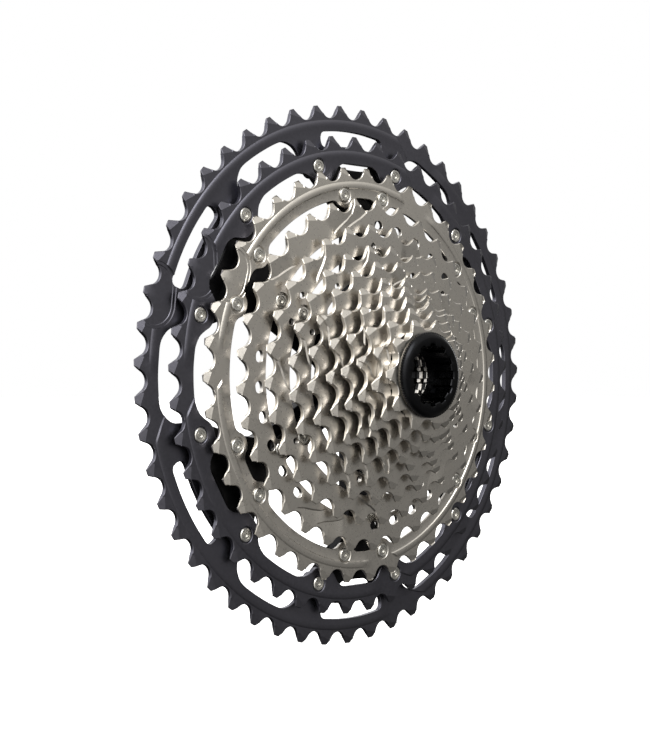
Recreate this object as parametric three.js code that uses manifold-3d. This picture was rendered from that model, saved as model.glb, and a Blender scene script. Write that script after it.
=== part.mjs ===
// Twelve-speed bicycle cassette: two dark aluminium sprockets and ten plated steel ones on two
// splined carriers, held together by rivets, spacers and a lockring.
//
// The pieces are drawn flat, each in its own plane, with x to the right, y up and z along the
// axle towards the smallest sprocket. The whole stack is then turned so that the axle lies along
// Y, the smallest sprocket points to -Y, and +Z is up. The origin is on the axle, in the middle
// plane of the largest sprocket, level with the back face of the large carrier. Millimetres.
import * as THREE from 'three';
import { mergeVertices } from 'three/addons/utils/BufferGeometryUtils.js';
import Module from 'manifold-3d';

// Chain and tooth form
const CHAIN_PITCH = 12.7;
const SEAT_RADIUS = 3.9; // round seat that a chain roller drops into
const SEAT_OPENING = 58; // degrees either side of the seat's lowest point
const TIP_HALF_WIDTH = 1.15;
const STEEL_TIP_RISE = 0.8; // tooth tip above the pitch circle
const ALLOY_TIP_RISE = 1.1;

// Stack along the axle
const STEP = 3.6; // middle of one sprocket to the middle of the next
const STEEL_THICKNESS = 1.7;
const ALLOY_THICKNESS = 2.2;
const GAP = 0.1; // left between faces that bear on each other

// Splined bore that fits over the hub's freewheel body
const SPLINES = 23;
const SPLINE_CREST = 15.9; // inner radius of the ridges in the bore
const SPLINE_VALLEY = 17;
const SPACER_BORE = 17.3;
const SPACER_RADIUS = 19.8;

// Large carrier, with the 39, 45 and 51-tooth sprockets
const ARM_ANGLES = [30, 90, 150, 210, 270, 330];
const LARGE_HUB_RADIUS = 19.6;
const LARGE_HUB_FRONT = 8.3;
const FORK_SPREAD = 15; // degrees from an arm's middle to each of its outer rivets
const OUTER_RIVET_CIRCLE = 81.5;
const INNER_RIVET_SPREAD = 8.65;
const INNER_RIVET_CIRCLE = 69.3;
const LUG_RADIUS = 5;
const RIM_51 = 94.4; // inner edge of each large sprocket's rim
const RIM_45 = 81.6;
const RIM_39 = 67.9;
const SLOT_INNER = 88.3; // inner edge of the slot in the 51-tooth rim over each arm

// Outlines of the large carrier and the lugs bolted to it. Each is one half, mirrored over an arm.
// [radius, degrees from the arm]: the 51-tooth sprocket's lugs, joined by a bar under the slot
const HALF_LINK_51 = [
  [93.9, 22.3], [91.6, 20.1], [88.5, 18.9], [81.5, 18.5],
  [77.4, 17.1], [77.4, 12.9], [80, 10.6], [82.8, 8],
];
// [radius, degrees from the arm]: one end of the slot
const HALF_SLOT = [
  [SLOT_INNER, 4.3], [SLOT_INNER, 8.9], [89.4, 10.2], [91.3, 10.6],
  [93.2, 10.2], [RIM_51, 8.9], [RIM_51, 4.3],
];
// [radius, degrees from the arm]: the 45-tooth sprocket's lugs
const HALF_LINK_45 = [
  [81.5, 23], [80.4, 20.4], [78.2, 18.6], [75.9, 17.2], [75, 15],
  [75, 11.3], [77.2, 9.4], [80.2, 7.8], [81.5, 5.6],
];
// [along the arm, across it]
const HALF_ARM = [[21, 7.5], [58, 7.5], [65, 13.5], [69, 15.4], [72.6, 13.6], [73.8, 9]];
const HALF_FORK = [
  [60, 8], [70, 19], [75.5, 24.9], [80, 25.9], [83.5, 22.4], [84, 14], [82.4, 9], [79.8, 7.4], [79.2, 4],
];

// Small carrier, with the 24, 28 and 33-tooth sprockets
const SMALL_HUB_FRONT = 18.95;
const SMALL_ARM_HALF_WIDTH = 3.8;
const RIVET_CIRCLE_33 = 53.6;
const RIVET_CIRCLE_28 = 44.8;
const RIVET_CIRCLE_24 = 36.8;
const RIM_33 = 54.4;
const RIM_28 = 46;
const RIM_24 = 38.8;
const SMALL_LUG_RADIUS = 3.6;
const INNER_ARM_ANGLES = [30, 150, 270]; // the arms that also reach the 24-tooth sprocket

// Rivets
const RIVET_SIDES = 6;
const SHANK_RADIUS = 1.5;
const RIVET_HOLE = 1.8;
const HEAD_RADIUS = 2.75;
const POCKET_RADIUS = 3.3;
const POCKET_DEPTH = 0.8;
const HEAD_THICKNESS = 0.7;

// Lockring and the ring-shaped pieces under it
const LOCKRING_RADIUS = 15.9;
const LOCKRING_FACE_RADIUS = 13.9;
const LOCKRING_BACK = 40.95;
const LOCKRING_SHOULDER = 42.3;
const LOCKRING_FRONT = 43.3;
const SLEEVE_RADIUS = 13.5;
const SLEEVE_BACK = 30.5;
const SOCKET_RADIUS = 10.6;
const SOCKET_NOTCH_RADIUS = 11.6;
const SOCKET_NOTCHES = 12;
const SOCKET_DEPTH = 9;
const SMALLEST_BORE = 13.9;
const SMALLEST_COLLAR_RADIUS = 17.6;
const WASHER_BORE = 14;
const WASHER_RADIUS = 15.4;
const ROUND_SIDES = 24;
const LOCKRING_SIDES = 36;

// Materials: [colour, roughness, metalness]
const DARK = [0x3b3c44, 0.45, 0.8];
const BLACK = [0x141416, 0.55, 0.6];
const STEEL = [0x9c968c, 0.32, 0.95];
const RIVET_STEEL = [0xb4b0a6, 0.3, 0.95];

// teeth, angle of one tooth's middle in degrees counter-clockwise from +x
const SPROCKETS = [
  { teeth: 51, phase: 1.21 },
  { teeth: 45, phase: 2.46 },
  { teeth: 39, phase: 5.38 },
  { teeth: 33, phase: 9.81 },
  { teeth: 28, phase: 3.16 },
  { teeth: 24, phase: 9.25 },
  { teeth: 21, phase: 14.49 },
  { teeth: 18, phase: 1.7 },
  { teeth: 16, phase: 20.65 },
  { teeth: 14, phase: 16.51 },
  { teeth: 12, phase: 9.8 },
  { teeth: 10, phase: 35.7 },
];

const wasm = await Module();
wasm.setup();

// ---- Flat outlines -------------------------------------------------------------------------

const radians = (degrees) => (degrees * Math.PI) / 180;

function polar(radius, degrees) {
  const angle = radians(degrees);
  return new THREE.Vector2(radius * Math.cos(angle), radius * Math.sin(angle));
}

/** A point given along (u) and across (v) a direction that leaves the axle at an angle. */
function along(degrees, u, v) {
  return new THREE.Vector2(u, v).rotateAround(new THREE.Vector2(), radians(degrees));
}

function circle(radius, sides, centre = new THREE.Vector2()) {
  return Array.from({ length: sides }, (_, i) => polar(radius, (360 * i) / sides).add(centre));
}

const pitchRadius = (teeth) => CHAIN_PITCH / 2 / Math.sin(Math.PI / teeth);

const isAlloy = (teeth) => teeth > 40;

/** Tooth tips and round roller seats, once round the sprocket. */
function toothedEdge({ teeth, phase }) {
  const pitch = pitchRadius(teeth);
  const tip = pitch + (isAlloy(teeth) ? ALLOY_TIP_RISE : STEEL_TIP_RISE);
  const tipAngle = (TIP_HALF_WIDTH / tip) * (180 / Math.PI);
  const points = [];
  for (let k = 0; k < teeth; k += 1) {
    const middle = phase + (360 * k) / teeth;
    const seat = middle + 180 / teeth;
    points.push(polar(tip, middle - tipAngle), polar(tip, middle + tipAngle));
    for (const turn of [-SEAT_OPENING, 0, SEAT_OPENING]) {
      const inward = SEAT_RADIUS * Math.cos(radians(turn));
      const sideways = SEAT_RADIUS * Math.sin(radians(turn));
      points.push(along(seat, pitch - inward, sideways));
    }
  }
  return points;
}

/** The inner edge of a rim, with a round rivet lug standing inward at each angle. */
function luggedEdge(rim, lugCircle, lugRadius, angles) {
  const cosine = (rim ** 2 + lugCircle ** 2 - lugRadius ** 2) / (2 * rim * lugCircle);
  const reach = Math.acos(cosine);
  const start = Math.atan2(rim * Math.sin(reach), rim * cosine - lugCircle);
  const lugSteps = 3;
  const points = [];
  angles.forEach((angle, i) => {
    for (let k = 0; k <= lugSteps; k += 1) {
      const turn = -start - ((2 * Math.PI - 2 * start) * k) / lugSteps;
      const u = lugCircle + lugRadius * Math.cos(turn);
      points.push(along(angle, u, lugRadius * Math.sin(turn)));
    }
    const next = i + 1 < angles.length ? angles[i + 1] : angles[0] + 360;
    const from = angle + (reach * 180) / Math.PI;
    const span = next - (reach * 180) / Math.PI - from;
    const rimSteps = Math.max(2, Math.round(span / 7));
    for (let k = 1; k < rimSteps; k += 1) {
      points.push(polar(rim, from + (span * k) / rimSteps));
    }
  });
  return points;
}

/** The inner edge of a large rim, with a pair of joined or separate lugs at each arm. */
function linkedEdge(halfLink, rim) {
  const points = [];
  for (const arm of ARM_ANGLES) {
    halfLink.forEach(([radius, turn]) => points.push(polar(radius, arm - turn)));
    [...halfLink].reverse().forEach(([radius, turn]) => points.push(polar(radius, arm + turn)));
    for (const turn of [26, 30, 34]) {
      points.push(polar(rim, arm + turn));
    }
  }
  return points;
}

/** The slot between the rim and the bar that joins two lugs. */
function slotEdge(arm) {
  const right = HALF_SLOT.map(([radius, turn]) => polar(radius, arm + turn));
  const left = [...HALF_SLOT].reverse().map(([radius, turn]) => polar(radius, arm - turn));
  return [polar(SLOT_INNER, arm), ...right, polar(RIM_51, arm), ...left];
}

/** Ridges and grooves of the splined bore. */
function splinedEdge() {
  const points = [];
  for (let k = 0; k < SPLINES; k += 1) {
    points.push(polar(SPLINE_VALLEY, (360 * k) / SPLINES));
    points.push(polar(SPLINE_CREST, (360 * (k + 0.5)) / SPLINES));
  }
  return points;
}

/** Notches that a lockring tool turns. */
function notchedEdge() {
  const points = [];
  const pitch = 360 / SOCKET_NOTCHES;
  for (let k = 0; k < SOCKET_NOTCHES; k += 1) {
    points.push(polar(SOCKET_NOTCH_RADIUS, (k - 0.2) * pitch));
    points.push(polar(SOCKET_NOTCH_RADIUS, (k + 0.2) * pitch));
    points.push(polar(SOCKET_RADIUS, (k + 0.28) * pitch));
    points.push(polar(SOCKET_RADIUS, (k + 0.72) * pitch));
  }
  return points;
}

/** Arms that leave the hub, each drawn as one half in (u, v) and mirrored; the hub joins them. */
function starEdge(angles, hubRadius, halfArm) {
  const points = [];
  const spacing = 360 / angles.length;
  for (const angle of angles) {
    halfArm.forEach(([u, v]) => points.push(along(angle, u, -v)));
    [...halfArm].reverse().forEach(([u, v]) => points.push(along(angle, u, v)));
    points.push(polar(hubRadius, angle + spacing / 2));
  }
  return points;
}

// ---- Solids --------------------------------------------------------------------------------

/** A flat plate between two heights on the axle. */
function plate(outline, holes, back, front) {
  const shape = new THREE.Shape(outline);
  shape.holes = holes.map((points) => new THREE.Path(points));
  const geometry = new THREE.ExtrudeGeometry(shape, { depth: front - back, bevelEnabled: false });
  return geometry.translate(0, 0, back);
}

function toSolid(geometry) {
  const bare = geometry.clone();
  bare.deleteAttribute('normal');
  bare.deleteAttribute('uv');
  const merged = mergeVertices(bare, 1e-5);
  const vertProperties = new Float32Array(merged.attributes.position.array);
  const triVerts = new Uint32Array(merged.index.array);
  return new wasm.Manifold(new wasm.Mesh({ numProp: 3, vertProperties, triVerts }));
}

function toGeometry(solid) {
  const mesh = solid.getMesh();
  const geometry = new THREE.BufferGeometry();
  geometry.setAttribute('position', new THREE.BufferAttribute(mesh.vertProperties, 3));
  geometry.setIndex(new THREE.BufferAttribute(mesh.triVerts, 1));
  geometry.computeVertexNormals();
  return geometry;
}

/** A turned piece: the closed profile holds [radius, height] pairs. */
function turned(profile, sides) {
  const points = profile.map(([radius, height]) => new THREE.Vector2(radius, height));
  return new THREE.LatheGeometry(points, sides).rotateX(Math.PI / 2);
}

/** A round pin through a plate, as a cutter. */
function pin(radius, centre, back, front) {
  return plate(circle(radius, RIVET_SIDES, centre), [], back, front);
}

/** Cuts the rivets' pockets into the front face of a plate. */
function pocketed(geometry, centres, front) {
  let solid = toSolid(geometry);
  for (const centre of centres) {
    solid = solid.subtract(toSolid(pin(POCKET_RADIUS, centre, front - POCKET_DEPTH, front + 1)));
  }
  return toGeometry(solid);
}

const rivetHoles = (centres) => centres.map((centre) => circle(RIVET_HOLE, RIVET_SIDES, centre));

// ---- The parts -----------------------------------------------------------------------------

const stack = new THREE.Group();
stack.rotation.x = Math.PI / 2;
const cassette = new THREE.Group();
cassette.add(stack);

function addPart(name, geometry, [color, roughness, metalness]) {
  const material = new THREE.MeshStandardMaterial({ color, roughness, metalness });
  const mesh = new THREE.Mesh(geometry, material);
  mesh.name = name;
  stack.add(mesh);
}

/** Back and front face of a sprocket, by its place in the stack. */
function faces(index) {
  const half = (isAlloy(SPROCKETS[index].teeth) ? ALLOY_THICKNESS : STEEL_THICKNESS) / 2;
  return [index * STEP - half, index * STEP + half];
}

const indexOf = (teeth) => SPROCKETS.findIndex((sprocket) => sprocket.teeth === teeth);

const spread = (angles, offset) => angles.flatMap((angle) => [angle - offset, angle + offset]);

const OUTER_RIVET_ANGLES = spread(ARM_ANGLES, FORK_SPREAD);
const INNER_RIVET_ANGLES = spread(ARM_ANGLES, INNER_RIVET_SPREAD);

function addLargeSprockets() {
  const outer = OUTER_RIVET_ANGLES.map((angle) => polar(OUTER_RIVET_CIRCLE, angle));
  const inner = INNER_RIVET_ANGLES.map((angle) => polar(INNER_RIVET_CIRCLE, angle));
  const [back51, front51] = faces(0);
  const holes51 = [linkedEdge(HALF_LINK_51, RIM_51), ...ARM_ANGLES.map(slotEdge), ...rivetHoles(outer)];
  addPart('sprocket_51t', plate(toothedEdge(SPROCKETS[0]), holes51, back51, front51), DARK);

  const [back45, front45] = faces(1);
  const edge45 = linkedEdge(HALF_LINK_45, RIM_45);
  const plate45 = plate(toothedEdge(SPROCKETS[1]), [edge45, ...rivetHoles(outer)], back45, front45);
  addPart('sprocket_45t', pocketed(plate45, outer, front45), DARK);

  const [back39, front39] = faces(2);
  const edge39 = luggedEdge(RIM_39, INNER_RIVET_CIRCLE, LUG_RADIUS, INNER_RIVET_ANGLES);
  const plate39 = plate(toothedEdge(SPROCKETS[2]), [edge39, ...rivetHoles(inner)], back39, front39);
  addPart('sprocket_39t', pocketed(plate39, inner, front39), STEEL);
}

function addLargeCarrier() {
  const armBack = faces(0)[1] + GAP;
  const forkFront = faces(1)[0] - GAP;
  const armFront = faces(2)[0] - GAP;
  const arms = starEdge(ARM_ANGLES, LARGE_HUB_RADIUS, HALF_ARM);
  let solid = toSolid(plate(arms, [], armBack, armFront));
  solid = solid.add(toSolid(plate(circle(LARGE_HUB_RADIUS, ROUND_SIDES), [], 0, LARGE_HUB_FRONT)));
  for (const angle of ARM_ANGLES) {
    const left = HALF_FORK.map(([u, v]) => along(angle, u, -v));
    const right = [...HALF_FORK].reverse().map(([u, v]) => along(angle, u, v));
    solid = solid.add(toSolid(plate([...left, ...right], [], armBack, forkFront)));
  }
  const past = 1;
  for (const angle of OUTER_RIVET_ANGLES) {
    const centre = polar(OUTER_RIVET_CIRCLE, angle);
    solid = solid.subtract(toSolid(pin(RIVET_HOLE, centre, armBack - past, forkFront + past)));
  }
  for (const angle of INNER_RIVET_ANGLES) {
    const centre = polar(INNER_RIVET_CIRCLE, angle);
    solid = solid.subtract(toSolid(pin(RIVET_HOLE, centre, armBack - past, armFront + past)));
  }
  solid = solid.subtract(toSolid(plate(splinedEdge(), [], -past, LARGE_HUB_FRONT + past)));
  addPart('large_carrier', toGeometry(solid), BLACK);
}

/** A rivet with a flat head at each end; the front head sits in its pocket. */
function addRivet(name, centre, back, front) {
  const rear = back - HEAD_THICKNESS - GAP;
  const nose = front - POCKET_DEPTH + GAP + HEAD_THICKNESS;
  const profile = [
    [0, rear],
    [HEAD_RADIUS, rear],
    [HEAD_RADIUS, back - GAP],
    [SHANK_RADIUS, back - GAP],
    [SHANK_RADIUS, nose - HEAD_THICKNESS],
    [HEAD_RADIUS, nose - HEAD_THICKNESS],
    [HEAD_RADIUS, nose],
    [0, nose],
  ];
  addPart(name, turned(profile, RIVET_SIDES).translate(centre.x, centre.y, 0), RIVET_STEEL);
}

function addRivets(prefix, angles, radius, back, front) {
  angles.forEach((angle, i) => {
    const number = String(i + 1).padStart(2, '0');
    addRivet(`${prefix}_${number}`, polar(radius, angle), back, front);
  });
}

function addLargeRivets() {
  const armBack = faces(0)[1] + GAP;
  addRivets('outer_rivet', OUTER_RIVET_ANGLES, OUTER_RIVET_CIRCLE, faces(0)[0], faces(1)[1]);
  addRivets('inner_rivet', INNER_RIVET_ANGLES, INNER_RIVET_CIRCLE, armBack, faces(2)[1]);
}

/** The three sprockets of the small cluster: teeth, rim, rivet circle and arms. */
const SMALL_CLUSTER = [
  { teeth: 33, rim: RIM_33, rivets: RIVET_CIRCLE_33, angles: ARM_ANGLES },
  { teeth: 28, rim: RIM_28, rivets: RIVET_CIRCLE_28, angles: ARM_ANGLES },
  { teeth: 24, rim: RIM_24, rivets: RIVET_CIRCLE_24, angles: INNER_ARM_ANGLES },
];

function addSmallSprockets() {
  for (const { teeth, rim, rivets, angles } of SMALL_CLUSTER) {
    const index = indexOf(teeth);
    const [back, front] = faces(index);
    const centres = angles.map((angle) => polar(rivets, angle));
    const edge = luggedEdge(rim, rivets, SMALL_LUG_RADIUS, angles);
    const blank = plate(toothedEdge(SPROCKETS[index]), [edge, ...rivetHoles(centres)], back, front);
    addPart(`sprocket_${teeth}t`, pocketed(blank, centres, front), STEEL);
  }
}

/** Six stepped arms: each step carries the next smaller sprocket on its front face. */
function addSmallCarrier() {
  const back = LARGE_HUB_FRONT + GAP;
  let solid = toSolid(plate(circle(LARGE_HUB_RADIUS, ROUND_SIDES), [], back, SMALL_HUB_FRONT));
  const past = 1;
  for (const { teeth, rivets, angles } of SMALL_CLUSTER) {
    const front = faces(indexOf(teeth))[0] - GAP;
    const end = rivets + SMALL_ARM_HALF_WIDTH;
    const half = SMALL_ARM_HALF_WIDTH;
    const halfArm = [[18, half], [end - 2, half], [end, half - 2]];
    for (const angle of angles) {
      const left = halfArm.map(([u, v]) => along(angle, u, -v));
      const right = [...halfArm].reverse().map(([u, v]) => along(angle, u, v));
      solid = solid.add(toSolid(plate([...left, ...right], [], back, front)));
    }
  }
  for (const { teeth, rivets, angles } of SMALL_CLUSTER) {
    const front = faces(indexOf(teeth))[0] - GAP;
    for (const angle of angles) {
      solid = solid.subtract(toSolid(pin(RIVET_HOLE, polar(rivets, angle), back - past, front + past)));
    }
  }
  solid = solid.subtract(toSolid(plate(splinedEdge(), [], back - past, SMALL_HUB_FRONT + past)));
  addPart('small_carrier', toGeometry(solid), BLACK);
}

function addSmallRivets() {
  const back = LARGE_HUB_FRONT + GAP;
  for (const { teeth, rivets, angles } of SMALL_CLUSTER) {
    addRivets(`cluster_rivet_${teeth}t`, angles, rivets, back, faces(indexOf(teeth))[1]);
  }
}

/** Sprockets that slide onto the splines one by one, with the spacer that sits behind each. */
function addLooseSprockets() {
  const spacerNames = { 21: 'spacer_24_21', 18: 'spacer_21_18', 16: 'spacer_18_16', 14: 'spacer_16_14' };
  for (const teeth of [21, 18, 16, 14]) {
    const index = indexOf(teeth);
    const [back, front] = faces(index);
    const sprocket = plate(toothedEdge(SPROCKETS[index]), [splinedEdge()], back, front);
    addPart(`sprocket_${teeth}t`, sprocket, STEEL);
    const behind = faces(index - 1)[1] + 2 * GAP;
    const bore = circle(SPACER_BORE, ROUND_SIDES);
    const spacer = plate(circle(SPACER_RADIUS, ROUND_SIDES), [bore], behind, back - GAP);
    addPart(spacerNames[teeth], spacer, BLACK);
  }
}

/** The two smallest sprockets carry their own collars instead of spacers. */
function addSmallestSprockets() {
  const [back12, front12] = faces(indexOf(12));
  const collar12Back = faces(indexOf(14))[1] + GAP;
  const disc12 = toSolid(plate(toothedEdge(SPROCKETS[indexOf(12)]), [splinedEdge()], back12, front12));
  const collar12Edge = circle(SPACER_RADIUS, ROUND_SIDES);
  const collar12 = toSolid(plate(collar12Edge, [circle(SPACER_BORE, ROUND_SIDES)], collar12Back, back12));
  addPart('sprocket_12t', toGeometry(disc12.add(collar12)), STEEL);

  const [back10, front10] = faces(indexOf(10));
  const bore = circle(SMALLEST_BORE, ROUND_SIDES);
  const disc10 = toSolid(plate(toothedEdge(SPROCKETS[indexOf(10)]), [bore], back10, front10));
  const collar10Edge = circle(SMALLEST_COLLAR_RADIUS, ROUND_SIDES);
  const collar10 = toSolid(plate(collar10Edge, [bore], front12 + GAP, back10));
  addPart('sprocket_10t', toGeometry(disc10.add(collar10)), STEEL);
}

function addLockring() {
  const washerBack = faces(indexOf(10))[1] + GAP;
  const washerFront = LOCKRING_BACK - GAP;
  const washerHole = circle(WASHER_BORE, ROUND_SIDES);
  const washer = plate(circle(WASHER_RADIUS, ROUND_SIDES), [washerHole], washerBack, washerFront);
  addPart('lockring_washer', washer, STEEL);

  const profile = [
    [SOCKET_RADIUS, SLEEVE_BACK],
    [SLEEVE_RADIUS, SLEEVE_BACK],
    [SLEEVE_RADIUS, LOCKRING_BACK],
    [LOCKRING_RADIUS, LOCKRING_BACK],
    [LOCKRING_RADIUS, LOCKRING_SHOULDER],
    [LOCKRING_FACE_RADIUS, LOCKRING_FRONT],
    [SOCKET_RADIUS, LOCKRING_FRONT],
    [SOCKET_RADIUS, SLEEVE_BACK],
  ];
  const notches = plate(notchedEdge(), [], LOCKRING_FRONT - SOCKET_DEPTH, LOCKRING_FRONT + 1);
  const body = toSolid(turned(profile, LOCKRING_SIDES)).subtract(toSolid(notches));
  addPart('lockring', toGeometry(body), BLACK);
}

addLargeSprockets();
addLargeCarrier();
addLargeRivets();
addSmallSprockets();
addSmallCarrier();
addSmallRivets();
addLooseSprockets();
addSmallestSprockets();
addLockring();

export default cassette;
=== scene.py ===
"""Looks for the twelve-speed cassette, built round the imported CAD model.

Pieces are drawn as in the CAD source: flat, in millimetres, x to the right, y up and h along the
axle towards the smallest sprocket. world() turns that into the row frame, in metres.
"""
import math

import bpy
import numpy as np
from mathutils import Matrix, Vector
from mathutils.geometry import delaunay_2d_cdt

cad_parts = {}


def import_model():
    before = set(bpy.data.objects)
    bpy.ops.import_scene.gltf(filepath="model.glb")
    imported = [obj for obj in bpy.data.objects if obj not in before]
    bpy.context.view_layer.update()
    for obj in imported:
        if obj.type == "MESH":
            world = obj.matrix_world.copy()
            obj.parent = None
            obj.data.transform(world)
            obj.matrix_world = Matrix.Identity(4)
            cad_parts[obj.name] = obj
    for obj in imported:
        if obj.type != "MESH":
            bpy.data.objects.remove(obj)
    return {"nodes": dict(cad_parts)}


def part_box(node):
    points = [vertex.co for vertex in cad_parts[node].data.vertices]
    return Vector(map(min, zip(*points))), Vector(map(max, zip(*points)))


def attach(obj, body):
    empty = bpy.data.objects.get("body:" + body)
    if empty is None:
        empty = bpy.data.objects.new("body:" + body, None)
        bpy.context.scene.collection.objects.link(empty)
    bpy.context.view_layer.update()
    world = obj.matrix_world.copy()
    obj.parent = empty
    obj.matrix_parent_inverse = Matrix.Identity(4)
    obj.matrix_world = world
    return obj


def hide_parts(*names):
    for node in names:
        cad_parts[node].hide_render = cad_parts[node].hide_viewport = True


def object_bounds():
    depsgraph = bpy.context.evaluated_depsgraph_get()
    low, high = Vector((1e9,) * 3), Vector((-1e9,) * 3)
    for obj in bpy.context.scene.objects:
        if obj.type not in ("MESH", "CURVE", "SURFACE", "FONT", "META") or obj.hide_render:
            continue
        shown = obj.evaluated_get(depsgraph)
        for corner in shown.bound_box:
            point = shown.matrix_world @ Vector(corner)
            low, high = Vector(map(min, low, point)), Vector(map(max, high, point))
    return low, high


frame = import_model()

cad_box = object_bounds()

# ---- Sizes in millimetres, as in the CAD source unless a comment says otherwise ------------------

CHAIN_PITCH = 12.7
SEAT_RADIUS = 3.9
SEAT_OPENING = 58
TIP_HALF_WIDTH = 1.15
STEEL_TIP_RISE = 0.8
TIP_CLEARANCE = 0.02  # keeps the drawn tips just inside the solid part
ALLOY_TIP_RISE = 1.1
STEP = 3.6
LARGEST_STEEL = 39  # the sprockets with more teeth are aluminium
STEEL_THICKNESS = 1.7
ALLOY_THICKNESS = 2.2
GAP = 0.1

SPLINES = 23
SPLINE_CREST = 15.9
SPLINE_VALLEY = 17.0
SPACER_BORE = 17.3
SPACER_RADIUS = 19.8

ARM_ANGLES = [30, 90, 150, 210, 270, 330]
INNER_ARM_ANGLES = [30, 150, 270]
# Place in the list of sprockets, rim, rivet circle and arms of those on the small carrier
SMALL_UNIT = [(3, 54.4, 53.6, ARM_ANGLES), (4, 46.0, 44.8, ARM_ANGLES), (5, 38.8, 36.8, INNER_ARM_ANGLES)]
LARGE_HUB_RADIUS = 19.6
LARGE_HUB_FRONT = 8.3
SMALL_HUB_FRONT = 18.95
SMALL_ARM_HALF_WIDTH = 3.8
OUTER_RIVET_CIRCLE = 81.5
INNER_RIVET_CIRCLE = 69.3
OUTER_RIVET_ANGLES = [a + s for a in ARM_ANGLES for s in (-15, 15)]
INNER_RIVET_ANGLES = [a + s for a in ARM_ANGLES for s in (-8.65, 8.65)]
RIM_51 = 94.4
RIM_45 = 81.6
RIM_39 = 67.9
SLOT_INNER = 88.3
# One half of each outline, mirrored over an arm: (radius, degrees from the arm)
HALF_LINK_51 = [
    (93.9, 22.3), (91.6, 20.1), (88.5, 18.9), (81.5, 18.5), (77.4, 17.1), (77.4, 12.9), (80, 10.6), (82.8, 8),
]
HALF_SLOT = [(SLOT_INNER, 4.3), (SLOT_INNER, 10.6), (RIM_51, 10.4), (RIM_51, 4.3)]
HALF_LINK_45 = [
    (81.5, 23), (80.4, 20.4), (78.2, 18.6), (75.9, 17.2), (75, 15), (75, 11.3), (77.2, 9.4), (80.2, 7.8),
    (81.5, 5.6),
]
# The same in (along the arm, across it)
HALF_ARM = [(15, 7.5), (58, 7.5), (65, 13.5), (69, 15.4), (72.6, 13.6), (73.8, 9)]
HALF_FORK = [
    (60, 8), (70, 19), (75.5, 24.9), (80, 25.9), (83.5, 22.4), (84, 14), (82.4, 9), (79.8, 7.4), (79.2, 4),
]

RIVET_HOLE = 1.8
HEAD_RADIUS = 2.62  # 2.75 on the solid part
HEAD_THICKNESS = 0.7
SHANK_RADIUS = 1.5
POCKET_DEPTH = 0.8

LOCKRING_RADIUS = 15.9
LOCKRING_FACE_RADIUS = 13.9
LOCKRING_BACK = 40.95
LOCKRING_SHOULDER = 42.3
LOCKRING_FRONT = 43.3
SLEEVE_RADIUS = 13.5
SLEEVE_BACK = 30.5
SOCKET_RADIUS = 10.6
SOCKET_NOTCH_RADIUS = 11.6
SOCKET_NOTCHES = 12
SOCKET_DEPTH = 9
SMALLEST_BORE = 13.9

# teeth and the angle of one tooth's middle, largest sprocket first
SPROCKETS = [
    (51, 1.21), (45, 2.46), (39, 5.38), (33, 9.81), (28, 3.16), (24, 9.25),
    (21, 14.49), (18, 1.7), (16, 20.65), (14, 16.51), (12, 9.8), (10, 35.7),
]

# ---- Flat outlines -----------------------------------------------------------------------------


def polar(radius, degrees):
    a = np.radians(degrees)
    return np.stack([radius * np.cos(a), radius * np.sin(a)], -1)


def turn(points, degrees):
    """Points given along and across a direction that leaves the axle at an angle."""
    points = np.asarray(points, float)
    a = math.radians(degrees)
    c, s = math.cos(a), math.sin(a)
    return np.stack([points[:, 0] * c - points[:, 1] * s, points[:, 0] * s + points[:, 1] * c], -1)


def circle(radius, count, centre=(0, 0)):
    return polar(radius, np.arange(count) * 360 / count) + np.asarray(centre)


def pitch_radius(teeth):
    return CHAIN_PITCH / 2 / math.sin(math.pi / teeth)


def tip_radius(teeth):
    return pitch_radius(teeth) + (ALLOY_TIP_RISE if teeth > LARGEST_STEEL else STEEL_TIP_RISE) - TIP_CLEARANCE


def inset(loop, distance):
    """A closed loop moved sideways, to its left where the distance is positive."""
    before, after = np.roll(loop, 1, 0), np.roll(loop, -1, 0)
    d1 = loop - before
    d2 = after - loop
    d1 /= np.linalg.norm(d1, axis=1)[:, None]
    d2 /= np.linalg.norm(d2, axis=1)[:, None]
    n1 = np.stack([-d1[:, 1], d1[:, 0]], -1)
    n2 = np.stack([-d2[:, 1], d2[:, 0]], -1)
    n = n1 + n2
    n /= np.maximum(np.sum(n * n, 1), 0.9)[:, None] / 2
    return loop + n * distance


def rounded(points, radius, steps=5):
    """A closed polygon whose corners are cut by smooth curves that start radius before each corner."""
    points = np.asarray(points, float)
    out = []
    for i, p in enumerate(points):
        a = points[i - 1] - p
        b = points[(i + 1) % len(points)] - p
        la, lb = np.linalg.norm(a), np.linalg.norm(b)
        start = p + a / la * min(radius, la * 0.48)
        end = p + b / lb * min(radius, lb * 0.48)
        for t in np.linspace(0, 1, steps + 1):
            out.append((1 - t) ** 2 * start + 2 * t * (1 - t) * p + t * t * end)
    return np.array(out)


def refined(loop, spacing):
    """A closed loop with points added so that no side is much longer than the spacing."""
    out = []
    for i, p in enumerate(loop):
        q = loop[(i + 1) % len(loop)]
        count = max(1, int(math.ceil(np.linalg.norm(q - p) / spacing)))
        out += [p + (q - p) * k / count for k in range(count)]
    return np.array(out)


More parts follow.
